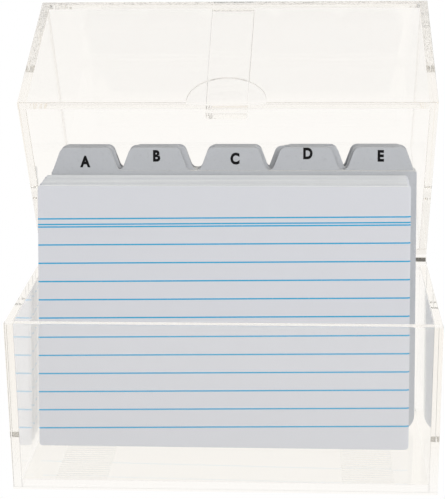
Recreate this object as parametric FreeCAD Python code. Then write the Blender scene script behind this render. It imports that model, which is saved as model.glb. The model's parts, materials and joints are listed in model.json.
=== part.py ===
"""A clear acrylic file box for index cards, standing open with its cards and tabbed dividers.

Millimetres. +X is to the right, +Y to the rear, +Z up, and the origin is the middle of the box's underside.
The lid and its hinge knuckles are drawn closed, then turned open about the hinge pin. Cards and dividers
are drawn upright in the XZ plane, leant back, and set down on the floor one behind the other.
"""

import FreeCAD, Part
import math
import os

Vector = FreeCAD.Vector
X_AXIS = Vector(1, 0, 0)
ORIGIN = Vector(0, 0, 0)

# Box of cemented acrylic sheet
BOX_WIDTH = 162.4
BOX_DEPTH = 78.4
BASE_HEIGHT = 67.7
LID_HEIGHT = 71.6
SHEET = 3.2
SIDE_ROOM = 3.0  # between a divider and each side wall
EDGE_ROUND = 0.4  # polished outer corners and rims
RIM_GAP = 0.1  # between the two rims when the box is closed

# Hinge along the rear of the box
LID_OPEN_ANGLE = 65.0
PIN_DIAMETER = 1.8
PIN_END_RECESS = 0.2
PIN_SEAT = 0.01  # radial play in the base's knuckles, which hold the pin
PIN_PLAY = 0.05  # radial play in the lid's knuckles, which turn on it
KNUCKLE_DIAMETER = 5.0
KNUCKLE_CLEARANCE = 0.3  # between a knuckle's barrel and the wall that swings past it
KNUCKLE_COUNT = 7
KNUCKLE_GAP = 0.4
KNUCKLE_FOOT = 6.0  # how far a knuckle is cemented along its wall
STOP_CLEARANCE = 0.1

# Thumb recess in the lid's front rim
THUMB_RADIUS = 15.5
THUMB_RISE = 1.3
THUMB_DEPTH = 1.5
THUMB_EDGE = 0.6  # the square step round the recess, from which its floor dishes down

# Tongue inside the lid's front wall, which centres the lid on the base
TONGUE_TOP_WIDTH = 17.6
TONGUE_TIP_WIDTH = 16.0
TONGUE_THICKNESS = 3.2
TONGUE_REACH = 1.8
TONGUE_CLEARANCE = 0.4
TONGUE_RELIEF = 1.0  # how far above the rim the tongue starts to step back

# Ribs moulded on the floor, which keep the cards' feet from sliding
RIB_PITCH = 1.9
RIB_HEIGHT = 0.3
RIB_FOOT = 1.1
RIB_CREST = 0.5
RIB_PATCH_WIDTH = 20.0
RIB_PATCH_INSET = 13.0  # from the side wall to the patch
RIB_MARGIN = 0.8

# Ruled cards
CARD_HEIGHT = 105.0
CARD_CORNER = 1.2
CARD_THICKNESS = 0.185
CARDS_PER_PACK = 11
PACK_COUNT = 9
CARD_OFFSET = -2.5
PACK_OFFSETS = (0.5, 0.6, 0.2, 0.4, 0.5, 0.3, 0.6, 0.4, 0.5)

# Tabbed dividers, five tabs across
DIVIDER_MARGIN = 1.0  # how much a divider is wider than a card at each side
DIVIDER_RISE = 1.3  # how far it stands above the cards between the tabs
DIVIDER_CORNER = 1.2
DIVIDER_FOOT_CORNER = 6.0
DIVIDER_THICKNESS = 0.3
DIVIDER_COUNT = 25
DIVIDER_OFFSET = 0.8
ROW_OFFSETS = (0.0, 0.2, -0.2, 0.1, -0.3)
TABS_ACROSS = 5
TAB_MARGIN = 1.2  # from a divider's edge to the foot of an end tab
TAB_SPACING = 2.9  # between the feet of two neighbouring tabs
TAB_FLARE = 3.5  # how far each side of a tab slopes in
TAB_HEIGHT = 9.4
TAB_CORNER = 3.0
TAB_ROOT = 3.0  # where the sides of a tab curve into the divider
TAB_NUDGES = (  # how far each tab was punched off its even place, row by row
    (-0.6, -2.1, 0.2, -0.1, 0.1),
    (0.4, 0.0, 1.2, 2.2, -0.8),
    (-0.2, -1.0, 0.4, -1.8, -0.3),
)

# How the stack stands
STACK_LEAN = 12.75
LEAF_AIR = 0.02  # between one leaf and the next
LEAF_LIFT = 0.05  # between the ribs' crests and the leaves' feet
REST_CLEARANCE = 0.1  # between the stack's back and the rear wall's rim

# Worked out from the sizes above
HALF_WIDTH = BOX_WIDTH / 2
HALF_DEPTH = BOX_DEPTH / 2
INNER_HALF_WIDTH = HALF_WIDTH - SHEET
INNER_HALF_DEPTH = HALF_DEPTH - SHEET
LID_BOTTOM = BASE_HEIGHT + RIM_GAP
LID_TOP = LID_BOTTOM + LID_HEIGHT
FLOOR_TOP = SHEET + RIB_HEIGHT
RIB_PATCH_OFFSET = INNER_HALF_WIDTH - RIB_PATCH_INSET - RIB_PATCH_WIDTH / 2
LEAF_FOOT = FLOOR_TOP + LEAF_LIFT
DIVIDER_WIDTH = 2 * (INNER_HALF_WIDTH - SIDE_ROOM)
DIVIDER_HEIGHT = CARD_HEIGHT + DIVIDER_RISE
CARD_WIDTH = DIVIDER_WIDTH - 2 * DIVIDER_MARGIN
TAB_PITCH = (DIVIDER_WIDTH - 2 * TAB_MARGIN + TAB_SPACING) / TABS_ACROSS
TAB_FOOT_WIDTH = TAB_PITCH - TAB_SPACING
TAB_TOP_WIDTH = TAB_FOOT_WIDTH - 2 * TAB_FLARE
KNUCKLE_RADIUS = KNUCKLE_DIAMETER / 2
KNUCKLE_LENGTH = (BOX_WIDTH - (KNUCKLE_COUNT - 1) * KNUCKLE_GAP) / KNUCKLE_COUNT
HINGE_STANDOFF = KNUCKLE_RADIUS + KNUCKLE_CLEARANCE
HINGE_Y = HALF_DEPTH + HINGE_STANDOFF
HINGE_Z = BASE_HEIGHT + RIM_GAP / 2
LEAN = math.radians(STACK_LEAN)


def box(low, high):
    """A block between two opposite corners."""
    return Part.makeBox(*[b - a for a, b in zip(low, high)], Vector(*low))


def prism(points, direction):
    """A closed outline of corner points, extruded."""
    return Part.Face(Part.makePolygon(points + points[:1])).extrude(direction)


def edges_along(shape, axis, **place):
    """The straight edges that run along an axis at the given coordinates."""

    def fits(edge):
        start, end = (v.Point for v in edge.Vertexes)
        level = all(abs(getattr(p, k) - v) < 1e-6 for p in (start, end) for k, v in place.items())
        return level and abs(getattr(end - start, axis)) > 1e-6

    return [edge for edge in shape.Edges if fits(edge)]


# Box sheets


def long_wall(side, bottom, top, rim):
    """The front (side -1) or rear (side 1) wall, over the full width, with its rim and corners rounded."""
    outer = side * HALF_DEPTH
    faces = sorted((outer, side * INNER_HALF_DEPTH))
    wall = box((-HALF_WIDTH, faces[0], bottom), (HALF_WIDTH, faces[1], top))
    sharp = edges_along(wall, "x", z=rim) + edges_along(wall, "z", y=outer)
    return wall.makeFillet(EDGE_ROUND, sharp)


def short_wall(side, bottom, top, rim):
    """The left (side -1) or right (side 1) wall, between the long walls, with its rim rounded."""
    faces = sorted((side * HALF_WIDTH, side * INNER_HALF_WIDTH))
    wall = box((faces[0], -INNER_HALF_DEPTH, bottom), (faces[1], INNER_HALF_DEPTH, top))
    return wall.makeFillet(EDGE_ROUND, edges_along(wall, "y", z=rim))


def inset_panel(bottom, top):
    """A sheet that fills the space inside the four walls."""
    low = (-INNER_HALF_WIDTH, -INNER_HALF_DEPTH, bottom)
    high = (INNER_HALF_WIDTH, INNER_HALF_DEPTH, top)
    return box(low, high)


def rib_patch(centre):
    """A comb of low ribs that run across the box, rooted halfway down in the floor."""
    reach = INNER_HALF_DEPTH - RIB_MARGIN
    count = int((2 * reach - RIB_FOOT) / RIB_PITCH) + 1
    first = -(count - 1) * RIB_PITCH / 2
    left = centre - RIB_PATCH_WIDTH / 2
    root = SHEET / 2
    profile = [Vector(left, first - RIB_FOOT / 2, root)]
    for number in range(count):
        y = first + number * RIB_PITCH
        profile += [
            Vector(left, y - RIB_FOOT / 2, SHEET),
            Vector(left, y - RIB_CREST / 2, FLOOR_TOP),
            Vector(left, y + RIB_CREST / 2, FLOOR_TOP),
            Vector(left, y + RIB_FOOT / 2, SHEET),
        ]
    profile.append(Vector(left, -first + RIB_FOOT / 2, root))
    return prism(profile, X_AXIS * RIB_PATCH_WIDTH)


def base_floor():
    """The floor sheet with a patch of ribs near each end."""
    patches = [rib_patch(side * RIB_PATCH_OFFSET) for side in (-1, 1)]
    return inset_panel(0, SHEET).multiFuse(patches).removeSplitter()


def lid_front_wall():
    """The lid's front wall, with a shallow round recess for a thumb in its outer face at the rim."""
    wall = long_wall(-1, LID_BOTTOM, LID_TOP, LID_BOTTOM)
    dish = THUMB_DEPTH - THUMB_EDGE
    ball_radius = (THUMB_RADIUS**2 + dish**2) / (2 * dish)
    middle = Vector(0, -HALF_DEPTH, LID_BOTTOM + THUMB_RISE)
    ball = Part.makeSphere(ball_radius, middle + Vector(0, THUMB_DEPTH - ball_radius, 0))
    disc = Part.makeCylinder(THUMB_RADIUS, SHEET, middle - Vector(0, SHEET / 2, 0), Vector(0, 1, 0))
    return wall.cut(disc.common(ball))


def lid_tongue():
    """A tapered strip down the middle of the lid's front wall, which reaches just past the rim."""
    seat = -INNER_HALF_DEPTH
    relieved = seat + TONGUE_CLEARANCE
    inside = seat + TONGUE_THICKNESS
    step = LID_BOTTOM + TONGUE_RELIEF
    tip = LID_BOTTOM - TONGUE_REACH
    top = LID_TOP - SHEET
    section = [
        Vector(-HALF_WIDTH, seat, top),
        Vector(-HALF_WIDTH, seat, step),
        Vector(-HALF_WIDTH, relieved, step - TONGUE_CLEARANCE),
        Vector(-HALF_WIDTH, relieved, tip),
        Vector(-HALF_WIDTH, inside, tip),
        Vector(-HALF_WIDTH, inside, top),
    ]
    face = [
        Vector(-TONGUE_TOP_WIDTH / 2, seat, top),
        Vector(-TONGUE_TIP_WIDTH / 2, seat, tip),
        Vector(TONGUE_TIP_WIDTH / 2, seat, tip),
        Vector(TONGUE_TOP_WIDTH / 2, seat, top),
    ]
    strip = prism(section, X_AXIS * BOX_WIDTH)
    return strip.common(prism(face, Vector(0, TONGUE_THICKNESS, 0)))


# Hinge


def around_pin(x, radius, degrees):
    """A point at an angle about the pin's axis: 0 is to the rear and 90 is up."""
    angle = math.radians(degrees)
    return Vector(x, HINGE_Y + radius * math.cos(angle), HINGE_Z + radius * math.sin(angle))


def pin_cylinder(x, length, radius):
    """A cylinder on the pin's axis."""
    return Part.makeCylinder(radius, length, Vector(x, HINGE_Y, HINGE_Z), X_AXIS)


def knuckle_foot(x, up):
    """The wedge that joins a barrel to its wall, above the pin for the lid (up 1), below for the base (up -1)."""
    reach = math.hypot(HINGE_STANDOFF, KNUCKLE_FOOT)
    foot_angle = math.degrees(math.atan2(KNUCKLE_FOOT, -HINGE_STANDOFF))
    tangent_angle = foot_angle - math.degrees(math.acos(KNUCKLE_RADIUS / reach))
    rim = HINGE_Z + up * RIM_GAP / 2
    profile = [
        Vector(x, HALF_DEPTH, HINGE_Z + up * KNUCKLE_FOOT),
        Vector(x, HALF_DEPTH, rim),
        Vector(x, HINGE_Y, rim),
        Vector(x, HINGE_Y, HINGE_Z),
        around_pin(x, KNUCKLE_RADIUS, up * tangent_angle),
    ]
    return prism(profile, X_AXIS * KNUCKLE_LENGTH)


def stop_heel(x):
    """The toe under a lid knuckle, whose flat comes down on the base's rear wall when the lid is fully open."""
    flat_angle = 180 + LID_OPEN_ANGLE
    flat_distance = HINGE_STANDOFF - STOP_CLEARANCE
    slope = math.radians(flat_angle)
    toe_height = (flat_distance - KNUCKLE_RADIUS * math.cos(slope)) / math.sin(slope)
    profile = [
        Vector(x, HINGE_Y, HINGE_Z),
        around_pin(x, flat_distance, flat_angle),
        Vector(x, HINGE_Y + KNUCKLE_RADIUS, HINGE_Z + toe_height),
        Vector(x, HINGE_Y + KNUCKLE_RADIUS, HINGE_Z),
    ]
    return prism(profile, X_AXIS * KNUCKLE_LENGTH)


def knuckle(number):
    """One knuckle of the row along the hinge; even ones are the base's and odd ones the lid's."""
    on_lid = number % 2 == 1
    x = -HALF_WIDTH + number * (KNUCKLE_LENGTH + KNUCKLE_GAP)
    barrel = pin_cylinder(x, KNUCKLE_LENGTH, KNUCKLE_RADIUS)
    pieces = [knuckle_foot(x, 1 if on_lid else -1)]
    if on_lid:
        pieces.append(stop_heel(x))
    play = PIN_PLAY if on_lid else PIN_SEAT
    bore = pin_cylinder(x, KNUCKLE_LENGTH, PIN_DIAMETER / 2 + play)
    return barrel.multiFuse(pieces).removeSplitter().cut(bore)


def hinge_pin():
    """The steel rod through every knuckle, a little short of the box's sides."""
    length = BOX_WIDTH - 2 * PIN_END_RECESS
    return pin_cylinder(-length / 2, length, PIN_DIAMETER / 2)


def open_lid(shape):
    """Turns a piece that is drawn closed to where the lid's stop holds it."""
    return shape.rotated(Vector(0, HINGE_Y, HINGE_Z), X_AXIS, -LID_OPEN_ANGLE)


# Cards and dividers


def rounded_outline(corners):
    """A closed wire in the XZ plane through (x, z, radius) corners."""
    points = [Vector(x, 0, z) for x, z, _ in corners]
    arcs = []
    for number, (_, _, radius) in enumerate(corners):
        corner = points[number]
        back = (points[number - 1] - corner).normalize()
        ahead = (points[(number + 1) % len(points)] - corner).normalize()
        half = back.getAngle(ahead) / 2
        setback = radius / math.tan(half)
        inward = (back + ahead).normalize() * (radius / math.sin(half) - radius)
        arcs.append((corner + back * setback, corner + inward, corner + ahead * setback))
    edges = []
    for arc, following in zip(arcs, arcs[1:] + arcs[:1]):
        edges.append(Part.Arc(*arc).toShape())
        edges.append(Part.LineSegment(arc[2], following[0]).toShape())
    return Part.Wire(edges)


def card_outline():
    """A ruled card, with four rounded corners."""
    side = CARD_WIDTH / 2
    spots = [(-side, 0), (side, 0), (side, CARD_HEIGHT), (-side, CARD_HEIGHT)]
    return rounded_outline([(x, z, CARD_CORNER) for x, z in spots])


def shoulder(side, tab_centre):
    """The corners from a divider's edge to the foot of its tab, on the left (side -1) or right (side 1)."""
    edge = side * DIVIDER_WIDTH / 2
    tab_foot = tab_centre + side * TAB_FOOT_WIDTH / 2
    length = side * (edge - tab_foot)
    if length > DIVIDER_CORNER + TAB_ROOT:
        return [(edge, DIVIDER_HEIGHT, DIVIDER_CORNER), (tab_foot, DIVIDER_HEIGHT, TAB_ROOT)]
    return [(edge, DIVIDER_HEIGHT - length * TAB_HEIGHT / TAB_FLARE, TAB_ROOT)]


def divider_outline(row, column):
    """A divider whose tab stands in one of the columns across its top."""
    side = DIVIDER_WIDTH / 2
    nudges = TAB_NUDGES[row % len(TAB_NUDGES)]
    centre = (column - (TABS_ACROSS - 1) / 2) * TAB_PITCH + nudges[column % len(nudges)]
    tab_top = DIVIDER_HEIGHT + TAB_HEIGHT
    corners = [(-side, 0, DIVIDER_FOOT_CORNER), (side, 0, DIVIDER_FOOT_CORNER)]
    corners += shoulder(1, centre)
    corners += [(centre + s * TAB_TOP_WIDTH / 2, tab_top, TAB_CORNER) for s in (1, -1)]
    corners += reversed(shoulder(-1, centre))
    return rounded_outline(corners)


def stack():
    """Every leaf from front to back, as (name, outline, thickness, sideways offset)."""
    leaves = [("ruled_card_front", card_outline(), CARD_THICKNESS, CARD_OFFSET)]
    for number in range(PACK_COUNT):
        offset = CARD_OFFSET + PACK_OFFSETS[number % len(PACK_OFFSETS)]
        thickness = CARDS_PER_PACK * CARD_THICKNESS
        leaves.append((f"card_pack_{number + 1}", card_outline(), thickness, offset))
    for number in range(DIVIDER_COUNT):
        row, column = divmod(number, TABS_ACROSS)
        offset = DIVIDER_OFFSET + ROW_OFFSETS[row % len(ROW_OFFSETS)]
        outline = divider_outline(row, column)
        leaves.append((f"tab_divider_{number + 1:02d}", outline, DIVIDER_THICKNESS, offset))
    return leaves


def stack_feet():
    """Where each leaf's front face meets the floor, as (name, y), with the last leaf against the rear rim."""
    depths = [(thickness + LEAF_AIR) / math.cos(LEAN) for _, _, thickness, _ in stack()]
    back = INNER_HALF_DEPTH - REST_CLEARANCE - (BASE_HEIGHT - LEAF_FOOT) * math.tan(LEAN)
    y = back - sum(depths)
    feet = []
    for (name, *_), depth in zip(stack(), depths):
        feet.append((name, y))
        y += depth
    return feet


def leaning_leaf(outline, thickness, offset, foot):
    """A card, pack or divider that leans back, sheared so that its foot lies flat on the ribs."""
    leaf = Part.Face(outline).extrude(Vector(0, thickness, thickness * math.tan(LEAN)))
    leaf.translate(Vector(offset, 0, 0))
    leaf.rotate(ORIGIN, X_AXIS, -STACK_LEAN)
    leaf.translate(Vector(0, foot, LEAF_FOOT))
    return leaf


# The whole box


def base_nodes():
    """The base's sheets, its knuckles and the pin they hold."""
    nodes = {
        "base_floor": base_floor(),
        "base_front_wall": long_wall(-1, 0, BASE_HEIGHT, BASE_HEIGHT),
        "base_rear_wall": long_wall(1, 0, BASE_HEIGHT, BASE_HEIGHT),
        "base_left_wall": short_wall(-1, 0, BASE_HEIGHT, BASE_HEIGHT),
        "base_right_wall": short_wall(1, 0, BASE_HEIGHT, BASE_HEIGHT),
        "hinge_pin": hinge_pin(),
    }
    for number in range(0, KNUCKLE_COUNT, 2):
        nodes[f"base_knuckle_{number // 2 + 1}"] = knuckle(number)
    return nodes


def lid_nodes():
    """The lid's sheets, tongue and knuckles, standing open."""
    nodes = {
        "lid_top_panel": inset_panel(LID_TOP - SHEET, LID_TOP),
        "lid_front_wall": lid_front_wall(),
        "lid_rear_wall": long_wall(1, LID_BOTTOM, LID_TOP, LID_BOTTOM),
        "lid_left_wall": short_wall(-1, LID_BOTTOM, LID_TOP, LID_BOTTOM),
        "lid_right_wall": short_wall(1, LID_BOTTOM, LID_TOP, LID_BOTTOM),
        "lid_tongue": lid_tongue(),
    }
    for number in range(1, KNUCKLE_COUNT, 2):
        nodes[f"lid_knuckle_{number // 2 + 1}"] = knuckle(number)
    return {name: open_lid(shape) for name, shape in nodes.items()}


def leaf_nodes():
    """The cards and dividers."""
    nodes = {}
    for (name, outline, thickness, offset), (_, foot) in zip(stack(), stack_feet()):
        nodes[name] = leaning_leaf(outline, thickness, offset, foot)
    return nodes


def main():
    """Writes one STEP file per piece."""
    os.makedirs("parts", exist_ok=True)
    for name, shape in {**base_nodes(), **lid_nodes(), **leaf_nodes()}.items():
        shape.exportStep(f"parts/{name}.step")


main()
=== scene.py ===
"""Finishes and fine pieces for the clear index card box.

Metres, in the frame of the CAD model: +X is to the right, +Y to the rear and +Z up. Each finish is a frozen
dataclass with a make method, and each sub-assembly is a class that dresses or builds its own pieces.
"""

import json
import logging
import math
import random
from dataclasses import dataclass, field, replace
from enum import Enum

import bmesh
import bpy
from mathutils import Matrix, Vector


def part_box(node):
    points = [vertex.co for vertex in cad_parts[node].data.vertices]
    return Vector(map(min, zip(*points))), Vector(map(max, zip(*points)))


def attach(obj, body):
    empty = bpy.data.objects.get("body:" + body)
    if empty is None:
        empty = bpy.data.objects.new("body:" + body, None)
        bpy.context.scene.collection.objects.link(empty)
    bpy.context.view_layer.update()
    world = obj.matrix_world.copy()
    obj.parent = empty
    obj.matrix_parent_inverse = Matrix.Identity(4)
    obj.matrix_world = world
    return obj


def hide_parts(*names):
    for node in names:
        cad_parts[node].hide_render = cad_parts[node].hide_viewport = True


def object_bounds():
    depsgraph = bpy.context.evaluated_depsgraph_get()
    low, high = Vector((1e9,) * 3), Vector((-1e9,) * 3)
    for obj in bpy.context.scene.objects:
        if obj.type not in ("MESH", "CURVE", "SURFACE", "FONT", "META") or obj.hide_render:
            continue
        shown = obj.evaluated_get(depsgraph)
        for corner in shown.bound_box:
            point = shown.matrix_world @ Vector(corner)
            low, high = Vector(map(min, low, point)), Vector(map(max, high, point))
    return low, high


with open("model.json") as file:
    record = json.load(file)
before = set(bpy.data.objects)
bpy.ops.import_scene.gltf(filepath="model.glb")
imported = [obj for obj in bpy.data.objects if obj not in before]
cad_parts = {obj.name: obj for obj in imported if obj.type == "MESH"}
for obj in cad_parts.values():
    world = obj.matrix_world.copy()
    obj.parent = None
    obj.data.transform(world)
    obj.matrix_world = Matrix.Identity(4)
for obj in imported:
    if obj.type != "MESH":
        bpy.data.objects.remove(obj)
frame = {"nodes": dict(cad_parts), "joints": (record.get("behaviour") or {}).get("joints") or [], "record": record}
CAD_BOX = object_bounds()

MM = 0.001
STACK_LEAN = math.radians(12.75)
LIGHT_BOUNCES = 160
QUARTER_TURN = math.radians(90)
Triple = tuple[float, float, float]
Colour = Triple
Span = tuple[float, float]
Socket = bpy.types.NodeSocket
Value = Socket | float | tuple[float, ...]
WHITE: Colour = (1.0, 1.0, 1.0)
log = logging.getLogger("card_box")


class SawnEnd(Enum):
    """The end of a body where the walls' edges are left as the saw and sander cut them."""

    BOTTOM = "bottom"
    TOP = "top"


class DullFaces(Enum):
    """The small faces of a sheet that are left duller than the polished ones."""

    NONE = "none"
    RIB_FLANKS = "rib flanks"
    CUT_SIDES = "cut sides"


@dataclass(frozen=True)
class Slab:
    """A block along one body's own axes, which may taper across X from its top to its bottom."""

    low: Vector
    high: Vector
    taper: float = 0.0

    def grown(self, margin: float) -> "Slab":
        """The same block, larger by a margin on every side."""
        step = Vector((margin,) * 3)
        return Slab(self.low - step, self.high + step, self.taper)


# Node wiring


class Wiring:
    """Adds nodes to one node tree and joins them."""

    COLOUR_MIX_INPUTS = (0, 6, 7)
    COLOUR_MIX_OUTPUT = 2
    NUMBER_MIX_INPUTS = (0, 2, 3)

    def __init__(self, tree: bpy.types.NodeTree) -> None:
        """Starts on an empty tree.

        Args:
            tree: the tree to fill.
        """
        self.tree = tree
        tree.nodes.clear()

    def node(self, kind: str, inputs: dict | None = None, **settings) -> bpy.types.Node:
        """Adds a node.

        Args:
            kind: the node's type name without the ShaderNode prefix.
            inputs: values or sockets by input name or number.
            settings: properties of the node.

        Returns:
            The new node.
        """
        made = self.tree.nodes.new(kind if kind.startswith("Node") else f"ShaderNode{kind}")
        for name, value in settings.items():
            setattr(made, name, value)
        for name, value in (inputs or {}).items():
            self.feed(made.inputs[name], value)
        return made

    def feed(self, target: Socket, value: Value) -> None:
        """Links a socket to an input, or sets the input's own value."""
        if isinstance(value, Socket):
            self.tree.links.new(value, target)
        else:
            target.default_value = value

    def math(self, operation: str, *operands: Value, clamp: bool = False) -> Socket:
        """A Math node on values or sockets; returns its output."""
        inputs = dict(enumerate(operands))
        return self.node("Math", inputs, operation=operation, use_clamp=clamp).outputs[0]

    def vector(self, operation: str, *operands: Value) -> Socket:
        """A Vector Math node; returns its vector output."""
        return self.node("VectorMath", dict(enumerate(operands)), operation=operation).outputs[0]

    def split(self, vector: Socket) -> list[Socket]:
        """The X, Y and Z of a vector."""
        return list(self.node("SeparateXYZ", {0: vector}).outputs)

    def noise(self, point: Socket, scale: float, detail: float = 2.0, stretch: Triple | None = None) -> Socket:
        """A noise value over a surface, about 0.5 on average.

        Args:
            point: the coordinates to read.
            scale: features per metre.
            detail: octaves.
            stretch: scales the coordinates first, to draw the grain out.

        Returns:
            The noise's value output.
        """
        if stretch:
            point = self.vector("MULTIPLY", point, stretch)
        return self.node("TexNoise", {"Vector": point, "Scale": scale, "Detail": detail}).outputs[0]

    def fade(self, value: Socket, span: Span, low: float = 0.0, high: float = 1.0) -> Socket:
        """Maps a span of values to another, held at both ends.

        Args:
            value: the socket to map.
            span: the values at which the fade starts and ends.
            low: the result at the start.
            high: the result at the end.

        Returns:
            The mapped value.
        """
        inputs = {0: value, 1: span[0], 2: span[1], 3: low, 4: high}
        return self.node("MapRange", inputs, interpolation_type="SMOOTHSTEP").outputs[0]

    def bump(self, height: Socket, strength: float, depth: float) -> Socket:
        """A Bump node of a given strength and depth on a height; returns its normal."""
        return self.node("Bump", {"Height": height, "Strength": strength, "Distance": depth}).outputs[0]

    def grey(self, value: Socket) -> Socket:
        """A colour with one value in all three channels."""
        return self.node("CombineXYZ", {0: value, 1: value, 2: value}).outputs[0]

    def surface(self, inputs: dict) -> None:
        """A Principled BSDF with these inputs, led to the material's output."""
        shader = self.node("BsdfPrincipled", inputs)
        self.node("OutputMaterial", {"Surface": shader.outputs[0]})

    def through(self) -> Socket:
        """1 on rays that a glossy or clear surface sends on, 0 on others."""
        path = self.node("LightPath").outputs
        return self.math("MAXIMUM", path["Is Glossy Ray"], path["Is Transmission Ray"])

    def mix(self, share: Value, first: Value, second: Value) -> Socket:
        """Mixes two colours; returns the output."""
        made = self.node("Mix", data_type="RGBA")
        for number, value in zip(self.COLOUR_MIX_INPUTS, (share, first, second)):
            self.feed(made.inputs[number], opaque(value))
        return made.outputs[self.COLOUR_MIX_OUTPUT]

    def mix_numbers(self, share: Value, first: Value, second: Value) -> Socket:
        """Mixes two numbers; returns the output."""
        return self.node("Mix", dict(zip(self.NUMBER_MIX_INPUTS, (share, first, second)))).outputs[0]

    def largest(self, values: list) -> Socket | float:
        """The largest of several values, or 0 for none."""
        result = values[0] if values else 0.0
        for value in values[1:]:
            result = self.math("MAXIMUM", result, value)
        return result

    def group(self, tree: bpy.types.NodeTree, **inputs) -> bpy.types.Node:
        """Places a node group with its inputs by name."""
        made = self.node("Group", node_tree=tree)
        for name, value in inputs.items():
            self.feed(made.inputs[name.replace("_", " ")], value)
        return made


def opaque(value: Value) -> Value:
    """A colour of three numbers with an alpha of 1; anything else as it is."""
    if isinstance(value, tuple) and len(value) == 3:
        return (*value, 1.0)
    return value


@dataclass
class Effects:
    """The node groups that more than one finish uses, each built once.

    Scales are features per metre, spans are the noise values between which an effect fades in, and middle is the
    noise's average.
    """

    made: dict[str, bpy.types.NodeTree] = field(default_factory=dict)
    fibre_scale: float = 2600.0
    fibre_detail: float = 4.0
    fibre_stretch: Triple = (1.0, 1.0, 0.35)
    fibre_share: float = 0.7
    middle: float = 0.5
    cloud_scale: float = 110.0
    cloud_detail: float = 3.0
    smudge_scale: float = 34.0
    smudge_detail: float = 3.0
    smudge_span: Span = (0.52, 0.72)
    ridge_scale: float = 900.0
    ridge_stretch: Triple = (1.0, 0.3, 1.0)
    ridge_span: Span = (0.35, 0.65)

    def start(
        self, name: str, inputs: dict[str, str], outputs: dict[str, str]
    ) -> tuple[bpy.types.NodeTree, Wiring, bpy.types.NodeOutputs, bpy.types.NodeInputs]:
        """Makes an empty group.

        Args:
            name: the group's name.
            inputs: socket type by input name.
            outputs: socket type by output name.

        Returns:
            The tree, its wiring, the sockets of what it is given, and those of its result.
        """
        tree = bpy.data.node_groups.new(name, "ShaderNodeTree")
        for label, kind in inputs.items():
            tree.interface.new_socket(label, in_out="INPUT", socket_type=f"NodeSocket{kind}")
        for label, kind in outputs.items():
            tree.interface.new_socket(label, in_out="OUTPUT", socket_type=f"NodeSocket{kind}")
        wiring = Wiring(tree)
        self.made[name] = tree
        return tree, wiring, wiring.node("NodeGroupInput").outputs, wiring.node("NodeGroupOutput").inputs

    def slab_mask(self) -> bpy.types.NodeTree:
        """A mask that is 1 inside a block and 0 outside it."""
        if "Slab mask" in self.made:
            return self.made["Slab mask"]
        inputs = {"Point": "Vector", "Low": "Vector", "High": "Vector", "Taper": "Float"}
        tree, wiring, given, result = self.start("Slab mask", inputs, {"Mask": "Float"})
        x, _, z = wiring.split(given["Point"])
        top = wiring.split(given["High"])[2]
        narrowing = wiring.math("MULTIPLY", wiring.math("SUBTRACT", top, z), given["Taper"])
        shift = wiring.math("MULTIPLY", wiring.math("SIGN", x), narrowing)
        shifted = wiring.node("CombineXYZ", {0: shift}).outputs[0]
        point = wiring.vector("ADD", given["Point"], shifted)
        above = wiring.vector("SUBTRACT", point, given["Low"])
        below = wiring.vector("SUBTRACT", given["High"], point)
        x, y, z = wiring.split(wiring.vector("MINIMUM", above, below))
        depth = wiring.math("MINIMUM", wiring.math("MINIMUM", x, y), z)
        wiring.feed(result["Mask"], wiring.math("GREATER_THAN", depth, 0.0))
        return tree

    def fibres(self) -> bpy.types.NodeTree:
        """Paper fibres: a shade about 1 and a height for a bump."""
        if "Fibres" in self.made:
            return self.made["Fibres"]
        inputs = {"Point": "Vector", "Depth": "Float"}
        tree, wiring, given, result = self.start("Fibres", inputs, {"Shade": "Float", "Height": "Float"})
        fine = wiring.noise(given["Point"], self.fibre_scale, self.fibre_detail, self.fibre_stretch)
        cloud = wiring.noise(given["Point"], self.cloud_scale, self.cloud_detail)
        fine = wiring.math("MULTIPLY", fine, self.fibre_share)
        height = wiring.math("ADD", fine, wiring.math("MULTIPLY", cloud, 1.0 - self.fibre_share))
        centred = wiring.math("SUBTRACT", height, self.middle)
        shade = wiring.math("MULTIPLY_ADD", centred, given["Depth"], 1.0)
        wiring.feed(result["Shade"], shade)
        wiring.feed(result["Height"], height)
        return tree

    def smudges(self) -> bpy.types.NodeTree:
        """Finger marks and faint polishing haze on a glossy face."""
        if "Smudges" in self.made:
            return self.made["Smudges"]
        tree, wiring, given, result = self.start("Smudges", {"Point": "Vector"}, {"Amount": "Float"})
        patches = wiring.noise(given["Point"], self.smudge_scale, self.smudge_detail)
        ridges = wiring.noise(given["Point"], self.ridge_scale, stretch=self.ridge_stretch)
        ridges = wiring.fade(ridges, self.ridge_span)
        patches = wiring.fade(patches, self.smudge_span)
        wiring.feed(result["Amount"], wiring.math("MULTIPLY", patches, ridges))
        return tree


EFFECTS = Effects()


# Finishes


def new_material(name: str) -> tuple[bpy.types.Material, Wiring]:
    """An empty node material and its wiring."""
    material = bpy.data.materials.new(name)
    material.use_nodes = True
    return material, Wiring(material.node_tree)


def dress(piece: bpy.types.Object, material: bpy.types.Material) -> None:
    """Gives a piece its material, alone in its slots."""
    while len(piece.material_slots) > 1:
        piece.data.materials.pop()
    if piece.material_slots:
        piece.material_slots[0].material = material
    else:
        piece.data.materials.append(material)


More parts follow.
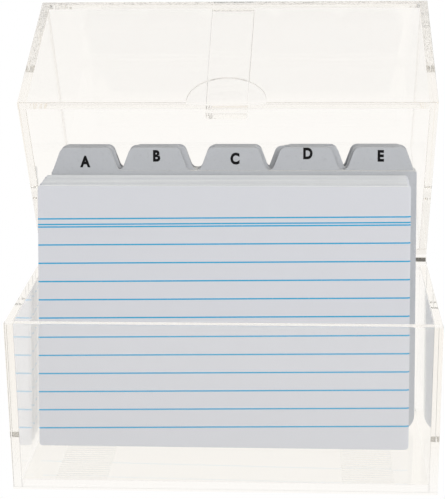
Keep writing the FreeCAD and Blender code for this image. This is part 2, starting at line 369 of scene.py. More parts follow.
@dataclass(frozen=True)
class ClearAcrylic:
    """Cast acrylic sheet: polished faces, cemented seams, and edges left as the saw and sander cut them.

    polish is the roughness all over, and smudge, sawn and dull are what finger marks, sawn edges and dull faces add.
    """

    ior: float = 1.49
    tint: Colour = (0.998, 0.996, 0.992)
    depth_colour: Colour = (0.86, 0.78, 0.64)
    depth_density: float = 1.6
    shadow: Colour = (0.99, 0.99, 0.988)
    polish: float = 0.004
    smudge: float = 0.05
    sawn: float = 0.12
    dull: float = 0.42
    bubble_size: float = 0.8 * MM
    bubble_span: Span = (0.82, 0.85)
    dry: float = 0.8
    # painted shade: the grey of the thin-cement seams stands in for the contact shadow at the foot of the rear corners
    painted_contact_shade: Colour = (0.70, 0.69, 0.66)
    flank: Colour = (0.80, 0.79, 0.76)
    side_start: float = 72.0 * MM
    side_facing: float = 0.7
    flank_facing: float = 0.3
    touch: float = 0.01 * MM
    saw_scale: float = 900.0
    saw_detail: float = 3.0
    saw_stretch: Triple = (1.0, 0.25, 1.0)
    saw_span: Span = (0.35, 0.7)
    saw_height: float = 2.5
    wave_scale: float = 26.0
    wave_height: float = 0.05
    relief: float = 0.35
    relief_depth: float = 0.1 * MM

    def bonded(self, wiring: Wiring, point: Socket, joints: list[Slab], dry: list[Slab]) -> tuple[Socket, Socket]:
        """Where a face is cemented to another sheet, so that light passes straight through.

        Args:
            wiring: the material's wiring.
            point: the coordinates in the body's own closed frame.
            joints: blocks round the cemented faces.
            dry: blocks in which the cement is thin.

        Returns:
            A mask of the cemented faces without bubbles or thin cement, and a mask of the thin cement, where the sheet
            is also painted grey as shade.
        """
        joint = self.masks(wiring, point, joints)
        solid = wiring.fade(wiring.noise(point, 1.0 / self.bubble_size, 1.0), self.bubble_span, 1.0, 0.0)
        thin = wiring.math("MULTIPLY", joint, self.masks(wiring, point, dry))
        wet = wiring.math("MULTIPLY_ADD", thin, -self.dry, 1.0)
        return wiring.math("MULTIPLY", joint, wiring.math("MULTIPLY", solid, wet)), thin

    def dulled(self, wiring: Wiring, point: Socket, faces: DullFaces) -> Socket:
        """A mask of a sheet's duller faces, by the way they face; cut sides are polished near their lower end."""
        x, y, z = wiring.split(wiring.node("TexCoord").outputs["Normal"])
        if faces is DullFaces.CUT_SIDES:
            sides = wiring.math("GREATER_THAN", wiring.math("ABSOLUTE", x), self.side_facing)
            above = wiring.math("GREATER_THAN", wiring.split(point)[2], self.side_start)
            return wiring.math("MULTIPLY", sides, above)
        leaning = wiring.math("GREATER_THAN", wiring.math("ABSOLUTE", y), self.flank_facing)
        return wiring.math("MULTIPLY", leaning, wiring.math("GREATER_THAN", z, self.flank_facing))

    def mask(self, wiring: Wiring, point: Socket, slab: Slab) -> Socket:
        """A mask of one block, a hair larger so that it takes in a face that touches it."""
        grown = slab.grown(self.touch)
        values = {"Low": tuple(grown.low), "High": tuple(grown.high), "Taper": grown.taper}
        return wiring.group(EFFECTS.slab_mask(), Point=point, **values).outputs[0]

    def masks(self, wiring: Wiring, point: Socket, slabs: list[Slab]) -> Socket | float:
        """A mask of several blocks, or 0 for none."""
        return wiring.largest([self.mask(wiring, point, slab) for slab in slabs])

    def grained(self, wiring: Wiring, point: Socket, sawn: Value) -> Socket:
        """The normal of a face: the sheet's slight waves, and the saw's grain on the cut edges.

        Args:
            wiring: the material's wiring.
            point: the coordinates in the body's own closed frame.
            sawn: the mask of the cut edges.

        Returns:
            The normal.
        """
        grain = wiring.fade(wiring.noise(point, self.saw_scale, self.saw_detail, self.saw_stretch), self.saw_span)
        cut = wiring.math("MULTIPLY", grain, wiring.math("MULTIPLY", sawn, self.saw_height))
        wave = wiring.math("MULTIPLY", wiring.noise(point, self.wave_scale, 1.0), self.wave_height)
        return wiring.bump(wiring.math("ADD", cut, wave), self.relief, self.relief_depth)

    def make(
        self,
        name: str,
        joints: list[Slab],
        raw: list[Slab],
        dry: list[Slab],
        turn: float,
        faces: DullFaces = DullFaces.NONE,
        worn: list[Slab] | None = None,
    ) -> bpy.types.Material:
        """Builds the material of one sheet.

        Args:
            name: the material's name.
            joints: the neighbours that the sheet is cemented to, in the body's own closed frame.
            raw: blocks round the faces that are left sawn.
            dry: blocks in which the cement of the seams is thin, where the sheet is also painted grey as shade.
            turn: how far the body stands turned about the hinge, in radians.
            faces: which of the sheet's small faces are dull.
            worn: blocks round more dull faces.

        Returns:
            The material.
        """
        material, wiring = new_material(name)
        place = wiring.node("TexCoord").outputs["Object"]
        rotation = Matrix.Rotation(turn, 3, "X")
        pivot = Hinge.pivot()
        closed = {"Vector": place, "Location": pivot - rotation @ pivot, "Rotation": (turn, 0.0, 0.0)}
        point = wiring.node("Mapping", closed).outputs[0]
        seam, thin = self.bonded(wiring, point, joints, dry)
        dull = [self.mask(wiring, point, slab) for slab in worn or []]
        if faces is not DullFaces.NONE:
            dull.append(self.dulled(wiring, point, faces))
        flanks = wiring.largest(dull)
        sawn = self.masks(wiring, point, raw)
        smudge = wiring.group(EFFECTS.smudges(), Point=point).outputs[0]
        haze = wiring.math("MULTIPLY_ADD", smudge, self.smudge, self.polish)
        roughness = wiring.math("MULTIPLY_ADD", sawn, self.sawn, haze)
        # painted shade: where the cement is thin the sheet turns grey, standing in for the contact shadow there
        colour = wiring.mix(thin, self.tint, self.painted_contact_shade)
        inputs = {
            "Base Color": wiring.mix(flanks, colour, self.flank) if dull else colour,
            "Roughness": wiring.math("MULTIPLY_ADD", flanks, self.dull, roughness),
            "IOR": self.ior,
            "Transmission Weight": 1.0,
            "Alpha": wiring.math("SUBTRACT", 1.0, seam, clamp=True),
            "Normal": self.grained(wiring, point, sawn),
        }
        sheet = wiring.node("BsdfPrincipled", inputs)
        path = wiring.node("LightPath").outputs
        passing = wiring.math("MAXIMUM", path["Is Shadow Ray"], path["Is Diffuse Ray"])
        through = wiring.node("BsdfTransparent", {"Color": opaque(self.shadow)})
        either = wiring.node("MixShader", {0: passing, 1: sheet.outputs[0], 2: through.outputs[0]})
        depth = {"Color": opaque(self.depth_colour), "Density": self.depth_density}
        volume = wiring.node("VolumeAbsorption", depth)
        inputs = {"Surface": either.outputs[0], "Volume": volume.outputs[0]}
        wiring.node("OutputMaterial", inputs)
        return material


@dataclass(frozen=True)
class PinSteel:
    """Drawn steel wire, darkened a little, with the die's fine lines along it."""

    colour: Colour = (0.22, 0.21, 0.19)
    stain: float = 0.55
    stain_scale: float = 260.0
    roughness: float = 0.22
    line_roughness: float = 0.25
    line_scale: float = 5200.0
    line_stretch: Triple = (0.01, 1.0, 1.0)
    detail: float = 3.0
    relief: float = 0.3
    relief_depth: float = 0.02 * MM

    def make(self, name: str) -> bpy.types.Material:
        """Builds the material."""
        material, wiring = new_material(name)
        place = wiring.node("TexCoord").outputs["Object"]
        lines = wiring.noise(place, self.line_scale, self.detail, self.line_stretch)
        stain = wiring.noise(place, self.stain_scale, self.detail)
        inputs = {
            "Base Color": wiring.mix(stain, self.colour, tuple(self.stain * c for c in self.colour)),
            "Metallic": 1.0,
            "Roughness": wiring.math("MULTIPLY_ADD", lines, self.line_roughness, self.roughness),
            "Normal": wiring.bump(lines, self.relief, self.relief_depth),
        }
        wiring.surface(inputs)
        return material


@dataclass(frozen=True)
class LeafPlace:
    """Where a leaf stands: the point its foot turns about, and its sideways shift."""

    foot: Vector
    offset: float
    edge_facing: float = 0.5

    def upright(self, wiring: Wiring) -> Socket:
        """The leaf's own coordinates: X across from its middle, Y through it and Z up from its foot."""
        place = wiring.node("TexCoord").outputs["Object"]
        rotation = Matrix.Rotation(STACK_LEAN, 3, "X")
        origin = self.foot + Vector((self.offset, 0.0, 0.0))
        inputs = {"Vector": place, "Location": -(rotation @ origin), "Rotation": (STACK_LEAN, 0.0, 0.0)}
        return wiring.node("Mapping", inputs).outputs[0]

    def cut_edge(self, wiring: Wiring) -> Socket:
        """A mask of the leaf's cut edges, which face neither its front nor its back."""
        normal = wiring.node("TexCoord").outputs["Normal"]
        inputs = {"Vector": normal, "Rotation": (STACK_LEAN, 0.0, 0.0)}
        turned = wiring.node("Mapping", inputs, vector_type="NORMAL").outputs[0]
        _, through, _ = wiring.split(turned)
        return wiring.math("LESS_THAN", wiring.math("ABSOLUTE", through), self.edge_facing)

    def standing(self) -> Matrix:
        """The turn and move that take a leaf drawn upright at the origin to its place."""
        move = Matrix.Translation(self.foot + Vector((self.offset, 0.0, 0.0)))
        return move @ Matrix.Rotation(-STACK_LEAN, 4, "X")


@dataclass(frozen=True)
class RuledPaper:
    """White card with printed blue feint lines, and a header of three lines."""

    paper: Colour = (0.662, 0.670, 0.704)
    # painted light: cut edges are lighter than the face, partly raw paper and partly lifting the shade on the card tops
    # and between cards
    cut: Colour = (0.87, 0.88, 0.855)
    # above this height the face takes the lighter cut colour too, as painted light on the top strip of each card
    lightened_top: float = 104.9 * MM
    ink: Colour = (0.010, 0.360, 0.640)
    edge_ink: float = 0.2
    first_line: float = 7.77 * MM
    pitch: float = 7.39 * MM
    lines: int = 11
    header: tuple[float, ...] = (88.89 * MM, 89.90 * MM, 92.16 * MM)
    line_width: float = 0.56 * MM
    skew: float = math.radians(0.48)
    fan: float = math.radians(0.5)
    width: float = 148.0 * MM
    height: float = 105.0 * MM
    line_softness: float = 0.2
    worn_ink: float = 0.7
    wear_scale: float = 1800.0
    wear_span: Span = (0.28, 0.42)
    roughness: float = 0.72
    ink_gloss: float = 0.2
    specular: float = 0.3
    fibre_depth: float = 0.05
    relief: float = 0.12
    relief_depth: float = 0.05 * MM

    def printed(self, wiring: Wiring, point: Socket) -> Socket:
        """A mask of the printed lines, slightly out of square with the card and a little fanned towards its foot."""
        x, _, z = wiring.split(point)
        level = wiring.math("MULTIPLY_ADD", x, -math.tan(self.skew), z)
        across = wiring.math("MULTIPLY", wiring.math("ADD", x, self.width / 2), math.tan(self.fan))
        down = wiring.math("SUBTRACT", 1.0, wiring.math("DIVIDE", z, self.height))
        height = wiring.math("SUBTRACT", level, wiring.math("MULTIPLY", across, down))
        steps = wiring.math("DIVIDE", wiring.math("SUBTRACT", height, self.first_line), self.pitch)
        held = wiring.math("MINIMUM", wiring.math("MAXIMUM", wiring.math("ROUND", steps), 0.0), self.lines - 1.0)
        away = wiring.math("MULTIPLY", wiring.math("ABSOLUTE", wiring.math("SUBTRACT", steps, held)), self.pitch)
        for line in self.header:
            distance = wiring.math("ABSOLUTE", wiring.math("SUBTRACT", height, line))
            away = wiring.math("MINIMUM", away, distance)
        half = self.line_width / 2
        span = (half * (1.0 - self.line_softness), half * (1.0 + self.line_softness))
        return wiring.fade(away, span, 1.0, 0.0)

    def make(self, name: str, place: LeafPlace) -> bpy.types.Material:
        """Builds the material of one card or pack.

        Args:
            name: the material's name.
            place: where the leaf stands.

        Returns:
            The material.
        """
        material, wiring = new_material(name)
        point = place.upright(wiring)
        fibre = wiring.group(EFFECTS.fibres(), Point=point, Depth=self.fibre_depth).outputs
        lines = self.printed(wiring, point)
        wear = wiring.fade(wiring.noise(point, self.wear_scale), self.wear_span, self.worn_ink, 1.0)
        # painted light: the cut edges and the top strip of each face are lighter, partly raw paper and partly lifted
        # shade
        lightened_top = wiring.math("GREATER_THAN", wiring.split(point)[2], self.lightened_top)
        edge = place.cut_edge(wiring)
        sheet = wiring.mix(wiring.math("MAXIMUM", edge, lightened_top), self.paper, self.cut)
        inked = wiring.math("MULTIPLY", lines, wiring.math("MULTIPLY_ADD", edge, self.edge_ink - 1.0, 1.0))
        printed = wiring.mix(wiring.math("MULTIPLY", inked, wear), sheet, self.ink)
        inputs = {
            "Base Color": wiring.vector("MULTIPLY", printed, wiring.grey(fibre["Shade"])),
            "Roughness": wiring.math("MULTIPLY_ADD", lines, -self.ink_gloss, self.roughness),
            "Specular IOR Level": self.specular,
            "Normal": wiring.bump(fibre["Height"], self.relief, self.relief_depth),
        }
        wiring.surface(inputs)
        return material


@dataclass(frozen=True)
class Pressboard:
    """Grey calendered board, a little mottled, with a soft sheen."""

    colour: Colour = (0.50, 0.512, 0.538)
    fleck: Colour = (0.43, 0.44, 0.46)
    # painted light: the cut edges are paler, lifting the shade in the narrow gaps between the tabs
    lightened_edge: Colour = (0.80, 0.79, 0.75)
    fleck_share: float = 0.45
    fleck_scale: float = 700.0
    fleck_detail: float = 3.0
    fleck_span: Span = (0.56, 0.7)
    roughness: float = 0.45
    fibre_roughness: float = 0.2
    specular: float = 0.35
    fibre_depth: float = 0.12
    relief: float = 0.2
    relief_depth: float = 0.05 * MM

    def make(self, name: str, place: LeafPlace) -> bpy.types.Material:
        """Builds the material of one divider.

        Args:
            name: the material's name.
            place: where the leaf stands.

        Returns:
            The material.
        """
        material, wiring = new_material(name)
        point = place.upright(wiring)
        fibre = wiring.group(EFFECTS.fibres(), Point=point, Depth=self.fibre_depth).outputs
        flecks = wiring.noise(point, self.fleck_scale, self.fleck_detail)
        flecks = wiring.fade(flecks, self.fleck_span, 0.0, self.fleck_share)
        # painted light: cut edges take the paler colour, lifting the shade between the tabs
        mottled = wiring.mix(place.cut_edge(wiring), wiring.mix(flecks, self.colour, self.fleck), self.lightened_edge)
        inputs = {
            "Base Color": wiring.vector("MULTIPLY", mottled, wiring.grey(fibre["Shade"])),
            "Roughness": wiring.math("MULTIPLY_ADD", fibre["Height"], self.fibre_roughness, self.roughness),
            "Specular IOR Level": self.specular,
            "Normal": wiring.bump(fibre["Height"], self.relief, self.relief_depth),
        }
        wiring.surface(inputs)
        return material


@dataclass(frozen=True)
class LetterInk:
    """Black printing ink, a little thin in places."""

    colour: Colour = (0.005, 0.005, 0.006)
    thin: Colour = (0.012, 0.012, 0.013)
    patch_scale: float = 2400.0
    patch_detail: float = 3.0
    patch_span: Span = (0.5, 0.75)
    roughness: float = 0.42
    patch_roughness: float = 0.2
    specular: float = 0.12

    def make(self, name: str) -> bpy.types.Material:
        """Builds the material."""
        material, wiring = new_material(name)
        place = wiring.node("TexCoord").outputs["Object"]
        patches = wiring.fade(wiring.noise(place, self.patch_scale, self.patch_detail), self.patch_span)
        inputs = {
            "Base Color": wiring.mix(patches, self.colour, self.thin),
            "Roughness": wiring.math("MULTIPLY_ADD", patches, self.patch_roughness, self.roughness),
            "Specular IOR Level": self.specular,
        }
        wiring.surface(inputs)
        return material


# Sub-assemblies


class Hinge:
    """The pin through the knuckles, about which the lid turns."""

    @staticmethod
    def joint() -> dict:
        """The lid's joint."""
        return next(j for j in frame["joints"] if j["name"] == "lid_hinge")

    @classmethod
    def pivot(cls) -> Vector:
        """A point on the pin's axis."""
        return Vector(cls.joint()["pos_m"])

    @classmethod
    def open_angle(cls) -> float:
        """How far the lid stands open at rest, in radians."""
        return math.radians(cls.joint()["range_deg"][1])

    def dress(self, steel: PinSteel) -> None:
        """Gives the pin its finish."""
        dress(frame["nodes"]["hinge_pin"], steel.make("drawn_steel"))
        log.info("dressed hinge_pin")


@dataclass
class AcrylicBody:
    """One half of the box: its cemented sheets, its knuckles, and for the lid its tongue.

    The bead is the width of the hairline round each seam that the cement didn't reach, and the tongue's taper is
    how much each of its sides comes in per length.
    """

    body: str
    turn: float
    sawn_at: SawnEnd
    dry_height: float = 2.4 * MM
    dry_room: float = 0.5 * MM
    dull_faces: dict[str, DullFaces] = field(
        default_factory=lambda: {"floor": DullFaces.RIB_FLANKS, "tongue": DullFaces.CUT_SIDES}
    )
    # painted shade: the floor sheet's tint is darker and warmer than the others', partly the sheet's own warmth and
    # partly the shade of the table under the box seen through it
    shaded_tints: dict[str, Colour] = field(default_factory=lambda: {"floor": (0.975, 0.965, 0.938)})
    thumb_reach: float = 15.6 * MM
    thumb_top: float = 17.0 * MM
    thumb_step_depth: float = 0.55 * MM
    thumb_margin: float = 0.05 * MM
    edge_depth: float = 0.05 * MM
    bead: float = 0.05 * MM
    narrowest_seam: float = 2.0 * MM
    reach: float = 0.02 * MM
    tongue_taper: float = 0.8 / 65.0

    def nodes(self) -> list[str]:
        """The acrylic nodes of this body."""
        members = frame["record"]["behaviour"]["bodies"][self.body]
        return [name for name in members if name != "hinge_pin"]

    def slab(self, node: str) -> Slab:
        """A node's box in the body's own closed frame.

        Args:
            node: the node's name.

        Returns:
            Its slab.
        """
        pivot = Hinge.pivot()
        rotation = Matrix.Rotation(self.turn, 3, "X")
        points = [rotation @ (v.co - pivot) + pivot for v in frame["nodes"][node].data.vertices]
        low = Vector([min(p[axis] for p in points) for axis in range(3)])
        high = Vector([max(p[axis] for p in points) for axis in range(3)])
        return Slab(low, high, self.tongue_taper if node.endswith("tongue") else 0.0)

    def sawn_end(self, slabs: dict[str, Slab]) -> Slab:
        """The thin layer that holds the walls' sawn ends: under the base, or on top of the lid."""
        low = Vector([min(s.low[axis] for s in slabs.values()) for axis in range(3)])
        high = Vector([max(s.high[axis] for s in slabs.values()) for axis in range(3)])
        return self.end_layer(low, high, self.edge_depth)

    def end_layer(self, low: Vector, high: Vector, height: float) -> Slab:
        """The layer of a given height at the sawn end of the block between two corners."""
        low, high = low.copy(), high.copy()
        if self.sawn_at is SawnEnd.TOP:
            low.z = high.z - height
        else:
            high.z = low.z + height
        return Slab(low, high)

    def thumb_step(self, front_wall: Slab) -> Slab:
        """A block that takes in the square step round the thumb recess, but neither face beside it."""
        front, rim = front_wall.low.y, front_wall.low.z
        low = Vector((-self.thumb_reach, front + self.thumb_margin, rim + self.thumb_margin))
        rear = front + self.thumb_step_depth - self.thumb_margin
        return Slab(low, Vector((self.thumb_reach, rear, rim + self.thumb_top)))

    def dry_ends(self, end: Slab, rear_wall: Slab) -> list[Slab]:
        """The last of the two rear corners' seams by the sawn end, which the cement hardly reached and which are
        painted grey as shade.
        """
        layer = self.end_layer(end.low, end.high, self.dry_height)
        low, high = layer.low, layer.high
        low.y = rear_wall.low.y - self.dry_room
        inner = high.x - (rear_wall.high.y - rear_wall.low.y)
        left = Slab(low, Vector((-inner, high.y, high.z)))
        right = Slab(Vector((inner, low.y, low.z)), high)
        return [left, right]

    def seam(self, first: Slab, second: Slab) -> Slab:
        """Where two sheets are cemented: their meeting face, less a hairline round it that the cement didn't reach."""
        low = Vector([max(first.low[a], second.low[a]) for a in range(3)])
        high = Vector([min(first.high[a], second.high[a]) for a in range(3)])
        for axis in range(3):
            if high[axis] - low[axis] > self.narrowest_seam:
                low[axis] += self.bead
                high[axis] -= self.bead
        return Slab(low, high)

    def dress(self, acrylic: ClearAcrylic) -> None:
        """Gives each sheet a finish that knows its neighbours, so that cemented faces don't show."""
        slabs = {name: self.slab(name) for name in self.nodes()}
        end = self.sawn_end(slabs)
        dry = self.dry_ends(end, slabs[self.body + "_rear_wall"])
        for name, own in slabs.items():
            grown = own.grown(self.reach)
            near = {other: s for other, s in slabs.items() if other != name and touches(grown, s)}
            joints = [
                self.seam(own, slab) if is_sheet(name) and is_sheet(other) else slab for other, slab in near.items()
            ]
            raw = [end] if name.endswith("wall") else []
            part = name.removeprefix(self.body + "_")
            faces = self.dull_faces.get(part, DullFaces.NONE)
            worn = [self.thumb_step(own)] if name == "lid_front_wall" else []
            # painted shade: the floor takes its darker, warmer tint
            cast = replace(acrylic, tint=self.shaded_tints.get(part, acrylic.tint))
            finish = cast.make(f"acrylic_{name}", joints, raw, dry, self.turn, faces, worn)
            dress(frame["nodes"][name], finish)
            log.info("dressed %s with %d cemented neighbours", name, len(joints))


def is_sheet(node: str) -> bool:
    """Whether an acrylic node is a plain sheet rather than a knuckle or the tongue."""
    return "knuckle" not in node and "tongue" not in node


def touches(first: Slab, second: Slab) -> bool:
    """Whether two blocks meet."""
    return all(first.low[a] <= second.high[a] and second.low[a] <= first.high[a] for a in range(3))


@dataclass
class CardStack:
    """The ruled cards: the front one as it is, and the packs behind it as loose single cards."""

    cards_per_pack: int = 11
    width: float = 148.0 * MM
    height: float = 105.0 * MM
    pitch: float = 0.185 * MM
    thickness: float = 0.178 * MM
    corner: float = 1.2 * MM
    corner_steps: int = 3
    side_scatter: float = 0.3 * MM
    height_scatter: float = 0.04 * MM
    short_runs: tuple[tuple[int, int], ...] = ((19, 22), (60, 66), (96, 99))
    short_by: float = 0.55 * MM
    seed: int = 11

    def blank(self) -> bpy.types.Object:
        """One card, upright with its foot at the origin, cut from a block with its corners rounded."""
        deselect()
        size = (self.width, self.thickness, self.height)
        middle = (0.0, self.thickness / 2, self.height / 2)
        bpy.ops.mesh.primitive_cube_add(size=1.0, location=middle, scale=size)
        card = bpy.context.object
        bpy.ops.object.transform_apply(location=True, rotation=True, scale=True)
        bpy.ops.object.mode_set(mode="EDIT")
        bpy.ops.mesh.select_mode(type="EDGE")
        bpy.ops.mesh.select_all(action="DESELECT")
        mesh = bmesh.from_edit_mesh(card.data)
        for edge in mesh.edges:
            along = edge.verts[1].co - edge.verts[0].co
            edge.select_set(abs(along.y) > self.thickness / 2)
        bmesh.update_edit_mesh(card.data)
        bpy.ops.mesh.bevel(offset=self.corner, segments=self.corner_steps, affect="EDGES")
        bpy.ops.object.mode_set(mode="OBJECT")
        return card

    def trimmed(self, number: int) -> float:
        """How tall a card is as a share of the full height: some runs in the stack were trimmed short."""
        short = any(first <= number < last for first, last in self.short_runs)
        return 1.0 - self.short_by / self.height if short else 1.0

    def pack(self, node: str, first: int, chance: random.Random) -> bpy.types.Object:
        """The loose cards that stand for one pack node.

        Args:
            node: the pack's node.
            first: the number in the whole stack of the pack's first card.
            chance: the source of the cards' uneven places.

        Returns:
            One object with all the pack's cards.
        """
        place = leaf_place(node)
        cards = [self.blank()]
        cards += [copy_of(cards[0]) for _ in range(self.cards_per_pack - 1)]
        for number, card in enumerate(cards):
            shift = chance.uniform(-self.side_scatter, self.side_scatter)
            lift = chance.uniform(0.0, self.height_scatter)
            move = Matrix.Translation(Vector((shift, number * self.pitch, lift)))
            trim = Matrix.Diagonal((1.0, 1.0, self.trimmed(first + number), 1.0))
            card.data.transform(place.standing() @ move @ trim)
        return joined(cards, f"{node}_cards")

    def build(self, paper: RuledPaper) -> None:
        """Dresses the front card and replaces each pack with its loose cards."""
        front = frame["nodes"]["ruled_card_front"]
        dress(front, paper.make("ruled_front", leaf_place("ruled_card_front")))
        chance = random.Random(self.seed)
        packs = sorted(n for n in frame["nodes"] if n.startswith("card_pack"))
        for number, node in enumerate(packs):
            piece = self.pack(node, number * self.cards_per_pack, chance)
            dress(piece, paper.make(f"ruled_{node}", leaf_place(node)))
            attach(piece, node)
            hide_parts(node)
            log.info("built %s", piece.name)


@dataclass
class DividerSet:
    """The tabbed dividers and the letters printed on their tabs.

    Nudges and their scatter are in millimetres, across the tab and up it, and capital_share is how tall the font's
    capitals are for its size.
    """

    letters: str = "ABCDEFGHIJKLMNOPQRSTUVWXY"
    letter_height: float = 4.45 * MM
    letter_width: float = 0.86
    letter_middle: float = 111.7 * MM
    capital_share: float = 0.729
    curve_steps: int = 6
    ink_thickness: float = 0.005 * MM
    ink_lift: float = 0.006 * MM
    boldness: float = 0.07
    first_row_nudges: tuple[tuple[float, float], ...] = (
        (-0.1, -1.9),
        (0.7, 0.4),
        (0.7, -0.75),
        (0.7, 1.3),
        (0.1, 0.3),
    )
    scatter: float = 0.8
    edge_tolerance: float = 0.01 * MM
    seed: int = 5

    def letter(self, character: str) -> bpy.types.Object:
        """One printed letter as a thin mesh, centred on the origin and facing the front."""
        deselect()
        bpy.ops.object.text_add()
        text = bpy.context.object
        text.data.body = character
        text.data.align_x = "CENTER"
        text.data.align_y = "CENTER"
        text.data.size = self.letter_height / self.capital_share
        text.data.offset = self.boldness * self.letter_height
        text.data.extrude = self.ink_thickness
        text.data.resolution_u = self.curve_steps
        bpy.ops.object.convert(target="MESH")
        piece = bpy.context.object
        narrowed = Matrix.Diagonal((self.letter_width, 1.0, 1.0, 1.0))
        piece.data.transform(Matrix.Rotation(QUARTER_TURN, 4, "X") @ narrowed)
        return piece

    def tab_middle(self, node: str) -> float:
        """Where the middle of a divider's tab is across the box, from the top edge of its mesh."""
        points = [v.co for v in frame["nodes"][node].data.vertices]
        top = max(p.z for p in points)
        across = [p.x for p in points if p.z > top - self.edge_tolerance]
        return (min(across) + max(across)) / 2

    def build(self, board: Pressboard, ink: LetterInk) -> None:
        """Dresses every divider and prints its letter."""
        chance = random.Random(self.seed)
        black = ink.make("letter_ink")
        nodes = sorted(n for n in frame["nodes"] if n.startswith("tab_divider"))
        for number, node in enumerate(nodes):
            place = leaf_place(node)
            dress(frame["nodes"][node], board.make(f"board_{node}", place))
            nudge = tuple(chance.uniform(-self.scatter, self.scatter) for _ in range(2))
            if number < len(self.first_row_nudges):
                nudge = self.first_row_nudges[number]
            across = self.tab_middle(node) - place.offset + nudge[0] * MM
            spot = Vector((across, -self.ink_lift, self.letter_middle + nudge[1] * MM))
            piece = self.letter(self.letters[number])
            piece.name = piece.data.name = f"letter_{self.letters[number]}"
            piece.data.transform(place.standing() @ Matrix.Translation(spot))
            dress(piece, black)
            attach(piece, node)
            log.info("printed %s on %s", piece.name, node)


def leaf_place(node: str) -> LeafPlace:
    """Where a leaf stands, from its joint and its node's box.

    Args:
        node: the leaf's node.

    Returns:
        Its place.
    """
    joint = next(j for j in frame["joints"] if j["child"] == node)
    low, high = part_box(node)
    return LeafPlace(Vector(joint["pos_m"]), (low.x + high.x) / 2)


def deselect() -> None:
    """Leaves nothing selected, because an operator acts on all that is."""
    bpy.ops.object.select_all(action="DESELECT")


def copy_of(piece: bpy.types.Object) -> bpy.types.Object:
    """A copy of a piece with its own mesh."""
    twin = piece.copy()
    twin.data = piece.data.copy()
    bpy.context.scene.collection.objects.link(twin)
    return twin


def joined(pieces: list[bpy.types.Object], name: str) -> bpy.types.Object:
    """Joins pieces into the first one and names it."""
    deselect()
    for piece in pieces:
        piece.select_set(True)
    bpy.context.view_layer.objects.active = pieces[0]
    bpy.ops.object.join()
    whole = bpy.context.object
    whole.name = whole.data.name = name
    return whole


# Studio


@dataclass(frozen=True)
class SoftLamp:
    """A square soft lamp: where it hangs, its side in metres and its power in watts."""

    name: str
    place: Triple
    size: float
    power: float

    def build(self, aim: Vector) -> None:
        """Hangs the lamp, out of sight of clear and glossy surfaces, and turns it to a point."""
        data = bpy.data.lights.new(self.name, "AREA")
        data.size = self.size
        data.energy = self.power
        lamp = bpy.data.objects.new(self.name, data)
        lamp.visible_transmission = lamp.visible_glossy = False
        lamp.location = self.place
        lamp.rotation_euler = (Vector(self.place) - aim).to_track_quat("Z", "Y").to_euler()
        bpy.context.scene.collection.objects.link(lamp)


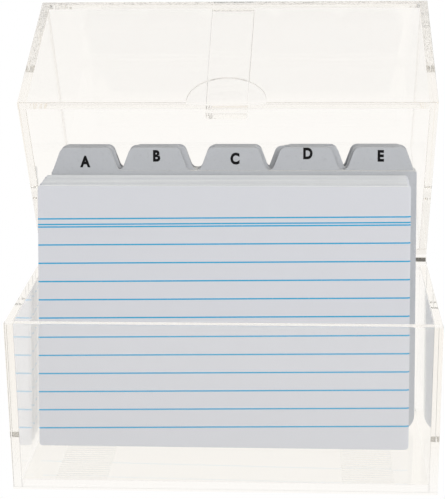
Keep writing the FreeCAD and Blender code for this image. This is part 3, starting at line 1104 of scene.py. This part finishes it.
@dataclass
class Studio:
    """A pale table, light from all round, soft lamps and the camera.

    The spans and levels shade the world: room from the front to the back, ceiling upwards, and side from left to right.
    """

    eye: Vector = field(default_factory=lambda: Vector((29.997, -530.021, 248.754)) * MM)
    yaw: float = math.radians(3.412)
    pitch: float = math.radians(-17.161)
    roll: float = math.radians(0.719)
    focal_pixels: float = 1422.959
    frame_height: float = 499.0
    sensor: float = 36.0
    table_size: float = 12.0
    table_cells: int = 4
    table_colour: Colour = (0.94, 0.94, 0.94)
    table_clouds: float = 40.0
    table_detail: float = 3.0
    table_span: Span = (0.3, 0.7)
    table_shade: float = 0.985
    white_through: float = 0.97
    warm_white: Colour = (1.0, 0.98, 0.95)
    ambient: float = 0.68
    room_span: Span = (-0.35, 0.25)
    room_levels: Span = (0.84, 1.0)
    ceiling_span: Span = (0.45, 0.85)
    ceiling_levels: Span = (1.0, 0.93)
    side_span: Span = (-0.7, 0.9)
    side_levels: Span = (0.7, 1.35)
    view_limit: float = 50.0
    lamps: tuple[SoftLamp, ...] = (
        SoftLamp("key_lamp", (-0.6, -1.8, 1.6), 2.0, 6.6),
        SoftLamp("fill_lamp", (1.9, -1.1, 0.7), 1.4, 22.0),
    )

    def build(self) -> None:
        """Makes everything that isn't part of the object."""
        self.table()
        self.world()
        low, high = CAD_BOX
        for lamp in self.lamps:
            lamp.build((low + high) / 2)
        self.camera()

    def table(self) -> None:
        """A large pale table top that shows white to the camera and keeps the object's shadow."""
        deselect()
        bpy.ops.mesh.primitive_grid_add(
            x_subdivisions=self.table_cells, y_subdivisions=self.table_cells, size=self.table_size
        )
        table = bpy.context.object
        table.name = "table_top"
        material, wiring = new_material("pale_table")
        place = wiring.node("TexCoord").outputs["Object"]
        clouds = wiring.fade(wiring.noise(place, self.table_clouds, self.table_detail), self.table_span)
        darker = tuple(self.table_shade * c for c in self.table_colour)
        matt = wiring.node("BsdfDiffuse", {"Color": wiring.mix(clouds, self.table_colour, darker)})
        seen = wiring.node("LightPath").outputs["Is Camera Ray"]
        through = wiring.through()
        white = wiring.node("Emission", {"Color": wiring.mix(through, WHITE, self.warm_white)})
        share = wiring.math("MAXIMUM", wiring.math("MULTIPLY", through, self.white_through), seen)
        both = wiring.node("MixShader", {0: share, 1: matt.outputs[0], 2: white.outputs[0]})
        wiring.node("OutputMaterial", {"Surface": both.outputs[0]})
        table.data.materials.append(material)

    def world(self) -> None:
        """Light from all round, more of it from the right.

        Glossy and clear surfaces see a white sweep behind, and a darker room in front that lets clear edges show.
        """
        world = bpy.data.worlds.new("studio")
        bpy.context.scene.world = world
        world.use_nodes = True
        wiring = Wiring(world.node_tree)
        direction = wiring.node("TexCoord").outputs["Generated"]
        x, y, z = wiring.split(direction)
        room = wiring.fade(y, self.room_span, *self.room_levels)
        ceiling = wiring.fade(z, self.ceiling_span, *self.ceiling_levels)
        side = wiring.fade(x, self.side_span, *(level * self.ambient for level in self.side_levels))
        through = wiring.through()
        plain = wiring.math("MAXIMUM", wiring.node("LightPath").outputs["Is Camera Ray"], side)
        around = wiring.math("MULTIPLY", room, ceiling)
        strength = wiring.mix_numbers(through, plain, around)
        colour = wiring.mix(through, WHITE, self.warm_white)
        light = wiring.node("Background", {"Color": colour, "Strength": strength})
        wiring.node("OutputWorld", {"Surface": light.outputs[0]})

    def camera(self) -> None:
        """The camera, a little above the box and to the right of its middle."""
        data = bpy.data.cameras.new("camera")
        data.sensor_width = self.sensor
        data.lens = self.focal_pixels * self.sensor / self.frame_height
        data.clip_end = self.view_limit
        camera = bpy.data.objects.new("camera", data)
        aim = Matrix.Rotation(self.yaw, 4, "Z") @ Matrix.Rotation(self.pitch, 4, "X")
        level = Matrix.Rotation(self.roll, 4, "Y") @ Matrix.Rotation(QUARTER_TURN, 4, "X")
        camera.matrix_world = Matrix.Translation(self.eye) @ aim @ level
        bpy.context.scene.collection.objects.link(camera)
        bpy.context.scene.camera = camera


def set_up_scene() -> None:
    """Colour management and light bounces for stacked clear sheets."""
    scene = bpy.context.scene
    scene.view_settings.view_transform = "Standard"
    for kind in ("max_bounces", "transmission_bounces", "glossy_bounces", "transparent_max_bounces"):
        setattr(scene.cycles, kind, LIGHT_BOUNCES)


def main() -> None:
    """Builds the sub-assemblies in order."""
    logging.basicConfig(level=logging.INFO, format="%(name)s: %(message)s")
    set_up_scene()
    Studio().build()
    acrylic = ClearAcrylic()
    AcrylicBody("base", 0.0, SawnEnd.BOTTOM).dress(acrylic)
    AcrylicBody("lid", Hinge.open_angle(), SawnEnd.TOP).dress(acrylic)
    Hinge().dress(PinSteel())
    CardStack().build(RuledPaper())
    DividerSet().build(Pressboard(), LetterInk())


if __name__ == "__main__":
    main()
